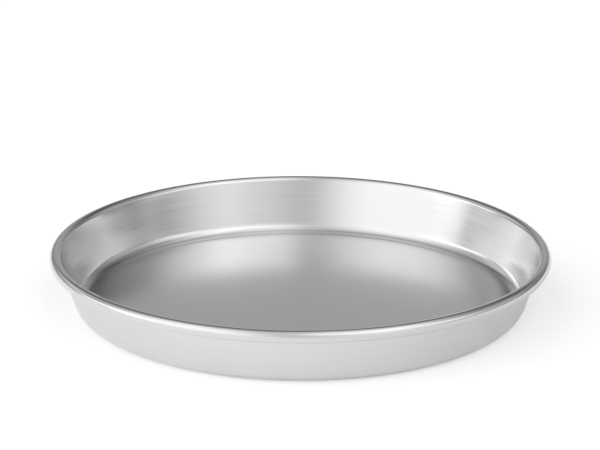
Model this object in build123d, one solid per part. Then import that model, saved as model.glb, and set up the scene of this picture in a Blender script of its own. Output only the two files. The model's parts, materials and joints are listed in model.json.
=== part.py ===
from build123d import *
import os
from math import acos, cos, degrees, radians, sin, tan

# Round shallow cake tin, pressed from one disc of aluminium sheet, with a wired rim.
# The floor turns into a tapered wall through one smooth radius. At the top the sheet is
# curled outwards over a steel wire and back under itself, with its cut edge against the wall.
# Millimetres, +Z up. The origin is on the tin's axis, on the surface that it stands on.

# Sheet
sheet_thickness = 1.2
overall_height = 31.0
mouth_diameter = 250.0  # inside face, where the straight wall meets the curl
wall_taper = 17.0  # degrees from upright
foot_inner_radius = 7.0

# Wired edge
wire_diameter = 3.6
wire_clearance = 0.1  # between the wire and the sheet wrapped round it
tuck_gap = 0.35  # between the cut edge of the curl and the wall
wire_butt_gap = 0.6  # between the two ends of the wire ring

# The curl: both its faces are circles round the wire
wire_radius = wire_diameter / 2
curl_inner_radius = wire_radius + wire_clearance
curl_outer_radius = curl_inner_radius + sheet_thickness

# Directions on the section, where X is the radius and Y the height
taper = radians(wall_taper)
wall_out = Vector(cos(taper), -sin(taper))  # out of the wall's outer face

# Centre of the wire: the wall's inside face runs up into the outer circle of the curl
mouth_radius = mouth_diameter / 2
wire_centre = Vector(mouth_radius + curl_outer_radius * cos(taper), overall_height - curl_outer_radius)
mouth_point = wire_centre - wall_out * curl_outer_radius

# Centre of the foot: its inner circle touches the floor and the wall's inside face
foot_centre_height = sheet_thickness + foot_inner_radius
wall_radius_at_foot = mouth_point.X - (mouth_point.Y - foot_centre_height) * tan(taper)
foot_centre = Vector(wall_radius_at_foot - foot_inner_radius / cos(taper), foot_centre_height)

# The curl turns until the outer corner of its cut edge is one tuck gap from the wall
curl_opening = degrees(acos((curl_inner_radius - tuck_gap) / curl_outer_radius))
curl_sweep = 360 - curl_opening


def sheet_face(foot_radius, curl_radius):
    """One face of the sheet on the section: floor, foot, wall and curl."""
    floor_centre = Vector(0, foot_centre.Y - foot_radius)
    foot_start = foot_centre - Vector(0, foot_radius)
    foot_end = foot_centre + wall_out * foot_radius
    wall_end = wire_centre - wall_out * curl_radius
    return [
        Line(floor_centre, foot_start),
        CenterArc(foot_centre, foot_radius, -90, 90 - wall_taper),
        Line(foot_end, wall_end),
        CenterArc(wire_centre, curl_radius, 180 - wall_taper, -curl_sweep),
    ]


def make_tin_shell():
    """The pressed sheet, turned from its section."""
    inner_face = sheet_face(foot_inner_radius, curl_outer_radius)
    outer_face = sheet_face(foot_inner_radius + sheet_thickness, curl_inner_radius)
    axis_edge = Line(inner_face[0] @ 0, outer_face[0] @ 0)
    cut_edge = Line(inner_face[-1] @ 1, outer_face[-1] @ 1)
    section = make_face(inner_face + outer_face + [axis_edge, cut_edge])
    return revolve(Plane.XZ * section, Axis.Z)


def make_rim_wire():
    """The wire ring inside the curl, its two ends meeting at the back of the tin."""
    section = Plane.XZ * Pos(wire_centre.X, wire_centre.Y) * Circle(wire_radius)
    gap_angle = degrees(wire_butt_gap / wire_centre.X)
    ring = revolve(section, Axis.Z, 360 - gap_angle)
    return Rot(0, 0, 90 + gap_angle / 2) * ring


nodes = {
    "tin_shell": make_tin_shell(),
    "rim_wire": make_rim_wire(),
}

os.makedirs("parts", exist_ok=True)
for name, solid in nodes.items():
    export_step(solid, "parts/" + name + ".step")
    print(name, "volume", round(solid.volume), "size", solid.bounding_box().size)
print("rim radius", wire_centre.X + curl_outer_radius, "floor edge radius", foot_centre.X)
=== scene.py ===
import bpy
import json
from math import acos, cos, pi, radians, sin, tan
from mathutils import Matrix, Vector

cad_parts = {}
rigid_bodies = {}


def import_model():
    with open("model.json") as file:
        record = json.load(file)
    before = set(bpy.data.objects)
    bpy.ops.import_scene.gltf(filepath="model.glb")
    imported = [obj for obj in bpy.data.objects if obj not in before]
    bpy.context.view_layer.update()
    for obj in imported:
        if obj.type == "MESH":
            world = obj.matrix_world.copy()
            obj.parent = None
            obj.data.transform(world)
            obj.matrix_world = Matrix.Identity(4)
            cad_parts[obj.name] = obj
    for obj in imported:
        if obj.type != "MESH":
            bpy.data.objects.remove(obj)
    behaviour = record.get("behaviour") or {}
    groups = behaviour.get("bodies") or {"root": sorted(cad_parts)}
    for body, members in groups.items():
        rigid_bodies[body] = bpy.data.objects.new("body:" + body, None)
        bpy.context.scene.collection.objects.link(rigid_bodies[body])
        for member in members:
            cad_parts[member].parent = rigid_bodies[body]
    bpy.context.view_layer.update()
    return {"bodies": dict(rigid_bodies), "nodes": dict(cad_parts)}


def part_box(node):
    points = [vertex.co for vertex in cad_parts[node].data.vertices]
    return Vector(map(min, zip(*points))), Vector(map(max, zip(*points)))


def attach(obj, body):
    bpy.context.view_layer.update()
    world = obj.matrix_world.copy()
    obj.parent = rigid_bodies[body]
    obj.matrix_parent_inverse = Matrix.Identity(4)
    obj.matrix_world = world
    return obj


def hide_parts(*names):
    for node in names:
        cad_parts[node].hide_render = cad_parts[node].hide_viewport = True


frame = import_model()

# Looks of a shallow round cake tin of satin aluminium with a wired rim.
# Metres, +Z up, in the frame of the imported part: the origin is under the middle of the floor.

shell_low, shell_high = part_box("tin_shell")
BODY = next(iter(frame["bodies"]))

# Sizes of the tin that its box doesn't give
SHEET = 0.0012
WALL_TAPER = radians(17.0)
FOOT_INNER_RADIUS = 0.007
CURL_INNER_RADIUS = 0.0019
TUCK_GAP = 0.00035

# Sizes from the frame
RIM_RADIUS = shell_high.x
RIM_HEIGHT = shell_high.z
CURL_OUTER_RADIUS = CURL_INNER_RADIUS + SHEET

# Fineness of the turned shell. Edges turned sharper than the sharp angle aren't shaded smooth.
TURN_STEPS = 288
FLOOR_RINGS = 10
WALL_RINGS = 6
ARC_STEP = radians(6.0)
SHARP_ANGLE = radians(40.0)
MERGE_DISTANCE = 0.00001

# Middle of a noise, and the detail of a soft one
NOISE_MIDDLE = 0.5
SOFT_DETAIL = 2.0
SOFT_DETAIL_SHARE = 0.5

# Satin aluminium: lines turned round the axis, and soft clouds left by rolling and pressing
ALUMINIUM_DARK = (0.74, 0.74, 0.745, 1.0)
ALUMINIUM_LIGHT = (0.85, 0.85, 0.855, 1.0)
LINE_COLOUR_SHARE = 0.65
CLOUD_COLOUR_SHARE = 1 - LINE_COLOUR_SHARE
SATIN_ROUGHNESS = 0.20
LINE_ROUGHNESS_CHANGE = 0.12
CLOUD_ROUGHNESS_CHANGE = 0.07
CLOUD_SIZE = 0.045

# The turned lines: their pitch across the sheet, how often they change on the way round, and their depth.
# The axis guard keeps a division by the radius from failing in the middle of the floor.
LINE_PITCH = 0.0019
LINE_TURNS = 2.0
LINE_DEPTH = 0.00002
LINE_DETAIL = 3.0
LINE_DETAIL_SHARE = 0.6
AXIS_GUARD = 0.0005

# Zinc skin of the wire
ZINC_DARK = (0.36, 0.37, 0.38, 1.0)
ZINC_LIGHT = (0.50, 0.51, 0.52, 1.0)
ZINC_ROUGHNESS = 0.45
SPANGLE_ROUGHNESS_CHANGE = 0.2
SPANGLE_SIZE = 0.002

# White surface under the tin, a hair below it. The camera and the metal see whiter paper than the one
# that lights the tin, with a glow that is even to the camera. In the metal that glow is a painted reflection
# that fades to the right, painting shade on the right of the tin's outer wall.
FLOOR_HALF = 12.0
FLOOR_DROP = 0.0001
PAPER = 0.8
SEEN_PAPER = 1.0
PAPER_GLOW = 0.33
# Painted reflection: the glow the metal sees, brighter on the left, which paints the tin's outer wall darker
# on its right
PAINTED_REFLECTION_LEFT = 0.20
PAINTED_REFLECTION_RIGHT = 0.04
GLOW_FADE_HALF = 0.15

# Light of the studio: an even level, and white along the horizon, up to a few degrees above it
WHITE = 1.0
SKY_LEVEL = 0.025
HORIZON_FOOT = radians(3.5)
HORIZON_TOP = radians(5.5)


class SoftBox:
    """A soft light on the sky, in degrees.

    Over runs from the horizon in front of the tin, over its top, to the horizon behind it.
    Side runs from the left to the right of the tin. An edge is half the width of a soft change.
    """

    def __init__(self, over, over_edge, side, side_edges, strength):
        self.over = [radians(angle) for angle in over]
        self.over_edge = radians(over_edge)
        self.side = [radians(angle) for angle in side]
        self.side_edges = [radians(angle) for angle in side_edges]
        self.strength = strength


SOFT_BOXES = {
    "left_bank": SoftBox(over=(-40, 114), over_edge=45, side=(-110, -7), side_edges=(8, 29), strength=1.16),
    "left_top": SoftBox(over=(49, 152), over_edge=8, side=(-71, -63), side_edges=(7, 7), strength=1.33),
    "left_rear": SoftBox(over=(137, 160), over_edge=17, side=(-110, -30), side_edges=(8, 7), strength=0.70),
    "front": SoftBox(over=(-30, 68), over_edge=8, side=(5, 21), side_edges=(15, 11), strength=0.73),
    "right_low": SoftBox(over=(-30, 85), over_edge=28, side=(22, 65), side_edges=(12, 30), strength=0.90),
    "right_high": SoftBox(over=(55, 112), over_edge=37, side=(1, 33), side_edges=(7, 7), strength=0.89),
    "far_right": SoftBox(over=(43, 155), over_edge=8, side=(42, 81), side_edges=(24, 24), strength=0.48),
    "rear": SoftBox(over=(151, 171), over_edge=8, side=(-27, 31), side_edges=(30, 30), strength=0.42),
}

# Sockets of a Mix node that is set to colours
MIX_DARK = 6
MIX_LIGHT = 7
MIX_RESULT = 2

# Camera, fitted to the tin's outline in the photograph
CAMERA_DISTANCE = 1.0610
CAMERA_ELEVATION = radians(17.700)
CAMERA_ROLL = -0.0040
CAMERA_LENS_MM = 121.07
SENSOR_WIDTH_MM = 36.0
AIM_ABOVE_RIM = 0.010282
AIM_LEFT_OF_AXIS = 0.000176


class Value:
    """An output socket of a shader. Sums and products with it add Math nodes."""

    def __init__(self, shader, socket):
        self.shader = shader
        self.socket = socket

    def __add__(self, other):
        return self.shader.math("ADD", self, other)

    def __radd__(self, other):
        return self.shader.math("ADD", other, self)

    def __sub__(self, other):
        return self.shader.math("SUBTRACT", self, other)

    def __rsub__(self, other):
        return self.shader.math("SUBTRACT", other, self)

    def __mul__(self, other):
        return self.shader.math("MULTIPLY", self, other)

    def __rmul__(self, other):
        return self.shader.math("MULTIPLY", other, self)

    def __rtruediv__(self, other):
        return self.shader.math("DIVIDE", other, self)

    def __neg__(self):
        return self.shader.math("MULTIPLY", self, -1.0)


class Shader:
    """The nodes of a material or of the world, and the one way that they are made."""

    def __init__(self, owner):
        owner.use_nodes = True
        self.tree = owner.node_tree
        self.tree.nodes.clear()

    def node(self, kind, settings=None, inputs=None, output=0):
        """One output of a new node, which gets its settings first, and then its values and links."""
        made = self.tree.nodes.new(kind)
        for name, value in (settings or {}).items():
            setattr(made, name, value)
        for socket, value in (inputs or {}).items():
            if isinstance(value, Value):
                self.tree.links.new(value.socket, made.inputs[socket])
            else:
                made.inputs[socket].default_value = value
        return Value(self, made.outputs[output]) if made.outputs else made

    def math(self, operation, *values):
        """A Math node on up to three values."""
        return self.node("ShaderNodeMath", {"operation": operation}, dict(enumerate(values)))

    def outputs(self, kind, names, inputs=None):
        """Several outputs of one new node."""
        first = self.node(kind, inputs=inputs, output=names[0])
        return [Value(self, first.socket.node.outputs[name]) for name in names]

    def parts(self, vector):
        """The X, Y and Z of a vector."""
        return self.outputs("ShaderNodeSeparateXYZ", "XYZ", {0: vector})

    def noise(self, place, scale, detail=SOFT_DETAIL, share=SOFT_DETAIL_SHARE):
        """A noise from 0 to 1."""
        inputs = {"Vector": place, "Scale": scale, "Detail": detail, "Roughness": share}
        return self.node("ShaderNodeTexNoise", inputs=inputs)

    def blend(self, dark, light, factor):
        """A colour between two colours."""
        inputs = {"Factor": factor, MIX_DARK: dark, MIX_LIGHT: light}
        return self.node("ShaderNodeMix", {"data_type": "RGBA"}, inputs, output=MIX_RESULT)

    def ramp(self, value, start, end):
        """0 before the start, 1 past the end, with a soft change between them."""
        inputs = {"Value": value, "From Min": start, "From Max": end}
        return self.node("ShaderNodeMapRange", {"interpolation_type": "SMOOTHSTEP"}, inputs)


def grey(level):
    """A colour without a hue."""
    return (level, level, level, 1.0)


def turned_lines(shader, place):
    """Fine lines round the axis, which run on from the floor over the foot and up the wall.

    On the floor the run across the sheet is the radius. The share of the height is chosen so that
    on the wall, too, it grows as fast as the sheet does.
    """
    x, y, z = shader.parts(place)
    radius = shader.math("SQRT", x * x + y * y)
    run = radius + z * ((1 - sin(WALL_TAPER)) / cos(WALL_TAPER))
    turn = LINE_TURNS / (radius + AXIS_GUARD)
    along = {"X": run * (1 / LINE_PITCH), "Y": x * turn, "Z": y * turn}
    line_place = shader.node("ShaderNodeCombineXYZ", inputs=along)
    return shader.noise(line_place, 1.0, LINE_DETAIL, LINE_DETAIL_SHARE)


def satin_aluminium():
    """Bare aluminium with a satin surface, turned lines and soft clouds."""
    material = bpy.data.materials.new("satin_sheet")
    shader = Shader(material)
    place = shader.node("ShaderNodeTexCoord", output="Object")
    lines = turned_lines(shader, place)
    clouds = shader.noise(place, 1 / CLOUD_SIZE)
    patches = LINE_COLOUR_SHARE * lines + CLOUD_COLOUR_SHARE * clouds
    line_change = LINE_ROUGHNESS_CHANGE * (lines - NOISE_MIDDLE)
    cloud_change = CLOUD_ROUGHNESS_CHANGE * (clouds - NOISE_MIDDLE)
    surface = shader.node("ShaderNodeBsdfPrincipled", inputs={
        "Base Color": shader.blend(ALUMINIUM_DARK, ALUMINIUM_LIGHT, patches),
        "Metallic": 1.0,
        "Roughness": SATIN_ROUGHNESS + (line_change + cloud_change),
        "Normal": shader.node("ShaderNodeBump", inputs={"Height": lines, "Distance": LINE_DEPTH}),
    })
    shader.node("ShaderNodeOutputMaterial", inputs={"Surface": surface})
    return material


def zinc_wire():
    """Drawn steel wire with a dull spangled zinc skin."""
    material = bpy.data.materials.new("zinc_wire")
    shader = Shader(material)
    place = shader.node("ShaderNodeTexCoord", output="Object")
    spangle = shader.noise(place, 1 / SPANGLE_SIZE)
    surface = shader.node("ShaderNodeBsdfPrincipled", inputs={
        "Base Color": shader.blend(ZINC_DARK, ZINC_LIGHT, spangle),
        "Metallic": 1.0,
        "Roughness": ZINC_ROUGHNESS + SPANGLE_ROUGHNESS_CHANGE * (spangle - NOISE_MIDDLE),
    })
    shader.node("ShaderNodeOutputMaterial", inputs={"Surface": surface})
    return material


def arc_points(centre, radius, start, sweep):
    """Points of an arc on the section, without its first point."""
    steps = round(abs(sweep) / ARC_STEP)
    angles = [start + sweep * i / steps for i in range(1, steps + 1)]
    return [centre + Vector((cos(angle), sin(angle))) * radius for angle in angles]


def line_points(start, end, steps):
    """Points of a straight run on the section, without its first point."""
    return [start.lerp(end, i / steps) for i in range(1, steps + 1)]


def sheet_face(foot_radius, curl_radius):
    """One face of the sheet on the section, from the axis to the cut edge of the curl."""
    wall_out = Vector((cos(WALL_TAPER), -sin(WALL_TAPER)))
    wire_centre = Vector((RIM_RADIUS - CURL_OUTER_RADIUS, RIM_HEIGHT - CURL_OUTER_RADIUS))
    mouth = wire_centre - wall_out * CURL_OUTER_RADIUS
    foot_height = SHEET + FOOT_INNER_RADIUS
    wall_radius = mouth.x - (mouth.y - foot_height) * tan(WALL_TAPER)
    foot_centre = Vector((wall_radius - FOOT_INNER_RADIUS / cos(WALL_TAPER), foot_height))
    opening = acos((CURL_INNER_RADIUS - TUCK_GAP) / CURL_OUTER_RADIUS)
    points = [Vector((0.0, foot_centre.y - foot_radius))]
    points += line_points(points[0], foot_centre - Vector((0.0, foot_radius)), FLOOR_RINGS)
    points += arc_points(foot_centre, foot_radius, -pi / 2, pi / 2 - WALL_TAPER)
    points += line_points(points[-1], wire_centre - wall_out * curl_radius, WALL_RINGS)
    points += arc_points(wire_centre, curl_radius, pi - WALL_TAPER, opening - 2 * pi)
    return points


def section_curve():
    """The sheet's section as one closed run from the axis and back to it."""
    inner = sheet_face(FOOT_INNER_RADIUS, CURL_OUTER_RADIUS)
    outer = sheet_face(FOOT_INNER_RADIUS + SHEET, CURL_INNER_RADIUS)
    run = inner + outer[::-1]
    mesh = bpy.data.meshes.new("section")
    edges = [(i, i + 1) for i in range(len(run) - 1)]
    mesh.from_pydata([(point.x, 0.0, point.y) for point in run], edges, [])
    section = bpy.data.objects.new("section", mesh)
    bpy.context.scene.collection.objects.link(section)
    return section


class Tree:
    """A Geometry Nodes tree and the one way that its nodes are made."""

    def __init__(self, name):
        self.tree = bpy.data.node_groups.new(name, "GeometryNodeTree")
        self.tree.interface.new_socket("Geometry", in_out="INPUT", socket_type="NodeSocketGeometry")
        self.tree.interface.new_socket("Geometry", in_out="OUTPUT", socket_type="NodeSocketGeometry")
        self.start = self.tree.nodes.new("NodeGroupInput")

    def size(self, name, kind):
        """A named input, and its socket in the tree."""
        self.tree.interface.new_socket(name, in_out="INPUT", socket_type=kind)
        return self.start.outputs[name]

    def node(self, kind, settings=None, inputs=None, output=0):
        """One output of a new node, which gets its settings first, and then its values and links."""
        made = self.tree.nodes.new(kind)
        for name, value in (settings or {}).items():
            setattr(made, name, value)
        for socket, value in (inputs or {}).items():
            if isinstance(value, bpy.types.NodeSocket):
                self.tree.links.new(value, made.inputs[socket])
            else:
                made.inputs[socket].default_value = value
        return made.outputs[output] if made.outputs else made

    def finish(self, geometry):
        """The tree, with its result wired up."""
        end = self.tree.nodes.new("NodeGroupOutput")
        self.tree.links.new(geometry, end.inputs["Geometry"])
        return self.tree


def turning_tree():
    """Turns a section that lies on XZ round the Z axis into a closed, smooth-shaded solid."""
    tree = Tree("turn_section")
    steps = tree.size("Turn Steps", "NodeSocketInt")
    path_radius = tree.size("Path Radius", "NodeSocketFloat")
    merge = tree.size("Merge Distance", "NodeSocketFloat")
    sharp = tree.size("Sharp Angle", "NodeSocketFloat")
    finish = tree.size("Finish", "NodeSocketMaterial")
    section = tree.node("GeometryNodeMeshToCurve", inputs={"Mesh": tree.start.outputs["Geometry"]})
    inwards = tree.node("ShaderNodeMath", {"operation": "MULTIPLY"}, {0: path_radius, 1: -1.0})
    shift = tree.node("ShaderNodeCombineXYZ", inputs={"X": inwards})
    upright = {"Geometry": section, "Translation": shift, "Rotation": (pi / 2, 0.0, 0.0)}
    profile = tree.node("GeometryNodeTransform", inputs=upright)
    path = tree.node("GeometryNodeCurvePrimitiveCircle", inputs={"Resolution": steps, "Radius": path_radius})
    turned = tree.node("GeometryNodeCurveToMesh", inputs={"Curve": path, "Profile Curve": profile})
    closed = tree.node("GeometryNodeMergeByDistance", inputs={"Geometry": turned, "Distance": merge})
    smooth = tree.node("GeometryNodeSetShadeSmooth", inputs={"Geometry": closed, "Shade Smooth": True})
    angle = tree.node("GeometryNodeInputMeshEdgeAngle", output="Unsigned Angle")
    soft = tree.node("FunctionNodeCompare", {"operation": "LESS_THAN"}, {0: angle, 1: sharp})
    creased = tree.node(
        "GeometryNodeSetShadeSmooth", {"domain": "EDGE"}, {"Geometry": smooth, "Shade Smooth": soft}
    )
    real = tree.node("GeometryNodeRealizeInstances", inputs={"Geometry": creased})
    painted = tree.node("GeometryNodeSetMaterial", inputs={"Geometry": real, "Material": finish})
    return tree.finish(painted)


def apply_tree(source, tree, sizes, name):
    """A plain mesh object made by a tree from a source object, which is then deleted."""
    modifier = source.modifiers.new("tree", "NODES")
    modifier.node_group = tree
    for item in tree.interface.items_tree:
        if item.name in sizes:
            modifier[item.identifier] = sizes[item.name]
    evaluated = source.evaluated_get(bpy.context.evaluated_depsgraph_get())
    mesh = bpy.data.meshes.new_from_object(evaluated)
    mesh.name = name
    piece = bpy.data.objects.new(name, mesh)
    bpy.context.scene.collection.objects.link(piece)
    bpy.data.objects.remove(source)
    return piece


def make_shell(finish):
    """The pressed sheet, turned from its section."""
    sizes = {
        "Turn Steps": TURN_STEPS,
        "Path Radius": RIM_RADIUS,
        "Merge Distance": MERGE_DISTANCE,
        "Sharp Angle": SHARP_ANGLE,
        "Finish": finish,
    }
    shell = apply_tree(section_curve(), turning_tree(), sizes, "pressed_shell")
    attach(shell, BODY)
    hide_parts("tin_shell")


def dress_wire(finish):
    """The wire ring keeps its own solid and gets its finish."""
    slots = frame["nodes"]["rim_wire"].data.materials
    slots.clear()
    slots.append(finish)


def make_floor(finish):
    """A white surface under the tin, far wider than the view."""
    mesh = bpy.data.meshes.new("floor")
    signs = [(-1, -1), (1, -1), (1, 1), (-1, 1)]
    corners = [(x * FLOOR_HALF, y * FLOOR_HALF, -FLOOR_DROP) for x, y in signs]
    mesh.from_pydata(corners, [], [(0, 1, 2, 3)])
    mesh.materials.append(finish)
    floor = bpy.data.objects.new("floor", mesh)
    bpy.context.scene.collection.objects.link(floor)


def white_paper():
    """White paper that keeps the tin's shadow. The camera sees it with an even glow of its own; the metal
    sees a painted reflection, a glow that fades to the right.
    """
    material = bpy.data.materials.new("white_paper")
    shader = Shader(material)
    rays = ["Is Camera Ray", "Is Glossy Ray", "Is Transmission Ray"]
    camera, glossy, through = shader.outputs("ShaderNodeLightPath", rays)
    place = shader.parts(shader.node("ShaderNodeTexCoord", output="Object"))
    to_right = shader.ramp(place[0], -GLOW_FADE_HALF, GLOW_FADE_HALF)
    # Painted reflection: in the metal the glow fades from left to right, painting shade on the right of the
    # tin's outer wall
    painted_reflection = shader.blend(grey(PAINTED_REFLECTION_LEFT), grey(PAINTED_REFLECTION_RIGHT), to_right)
    glow_colour = shader.blend(painted_reflection, grey(PAPER_GLOW), camera)
    paper = shader.node("ShaderNodeBsdfDiffuse", inputs={"Color": grey(PAPER)})
    lit = shader.node("ShaderNodeBsdfDiffuse", inputs={"Color": grey(SEEN_PAPER)})
    glow = shader.node("ShaderNodeEmission", inputs={"Color": glow_colour})
    bright = shader.node("ShaderNodeAddShader", inputs={0: lit, 1: glow})
    seen = shader.math("MAXIMUM", camera, shader.math("MAXIMUM", glossy, through))
    surface = shader.node("ShaderNodeMixShader", inputs={0: seen, 1: paper, 2: bright})
    shader.node("ShaderNodeOutputMaterial", inputs={"Surface": surface})
    return material


def window(shader, angle, start, end, start_edge, end_edge):
    """1 between two angles and 0 outside them, with a soft edge at each."""
    rise = shader.ramp(angle, start - start_edge, start + start_edge)
    fall = shader.ramp(angle, end + end_edge, end - end_edge)
    return rise * fall


def light_world():
    """The soft boxes of the studio on an even sky, with white along the horizon."""
    world = bpy.data.worlds.new("studio")
    shader = Shader(world)
    x, y, z = shader.parts(shader.node("ShaderNodeTexCoord", output="Generated"))
    over = shader.math("ARCTAN2", z, -y)
    side = shader.math("ARCSINE", x)
    level = SKY_LEVEL
    for box in SOFT_BOXES.values():
        height = window(shader, over, *box.over, box.over_edge, box.over_edge)
        width = window(shader, side, *box.side, *box.side_edges)
        level = level + box.strength * (height * width)
    low = shader.ramp(z, sin(HORIZON_TOP), sin(HORIZON_FOOT))
    strength = level + low * (WHITE - level)
    sky = shader.node("ShaderNodeBackground", inputs={"Color": grey(WHITE), "Strength": strength})
    shader.node("ShaderNodeOutputWorld", inputs={"Surface": sky})
    bpy.context.scene.world = world


def place_camera():
    """A long lens in front of the tin, a little above it."""
    rim_centre = Vector((0.0, 0.0, RIM_HEIGHT))
    forward = Vector((0.0, cos(CAMERA_ELEVATION), -sin(CAMERA_ELEVATION)))
    up = Vector((0.0, sin(CAMERA_ELEVATION), cos(CAMERA_ELEVATION)))
    right = Vector((1.0, 0.0, 0.0))
    rolled_right = right * cos(CAMERA_ROLL) - up * sin(CAMERA_ROLL)
    rolled_up = right * sin(CAMERA_ROLL) + up * cos(CAMERA_ROLL)
    aim = rim_centre + rolled_up * AIM_ABOVE_RIM - rolled_right * AIM_LEFT_OF_AXIS
    data = bpy.data.cameras.new("camera")
    data.lens = CAMERA_LENS_MM
    data.sensor_width = SENSOR_WIDTH_MM
    camera = bpy.data.objects.new("camera", data)
    axes = Matrix((rolled_right, rolled_up, -forward)).transposed().to_4x4()
    camera.matrix_world = Matrix.Translation(aim - forward * CAMERA_DISTANCE) @ axes
    bpy.context.scene.collection.objects.link(camera)
    bpy.context.scene.camera = camera


make_shell(satin_aluminium())
dress_wire(zinc_wire())
make_floor(white_paper())
light_world()
place_camera()
bpy.context.scene.view_settings.view_transform = "Standard"
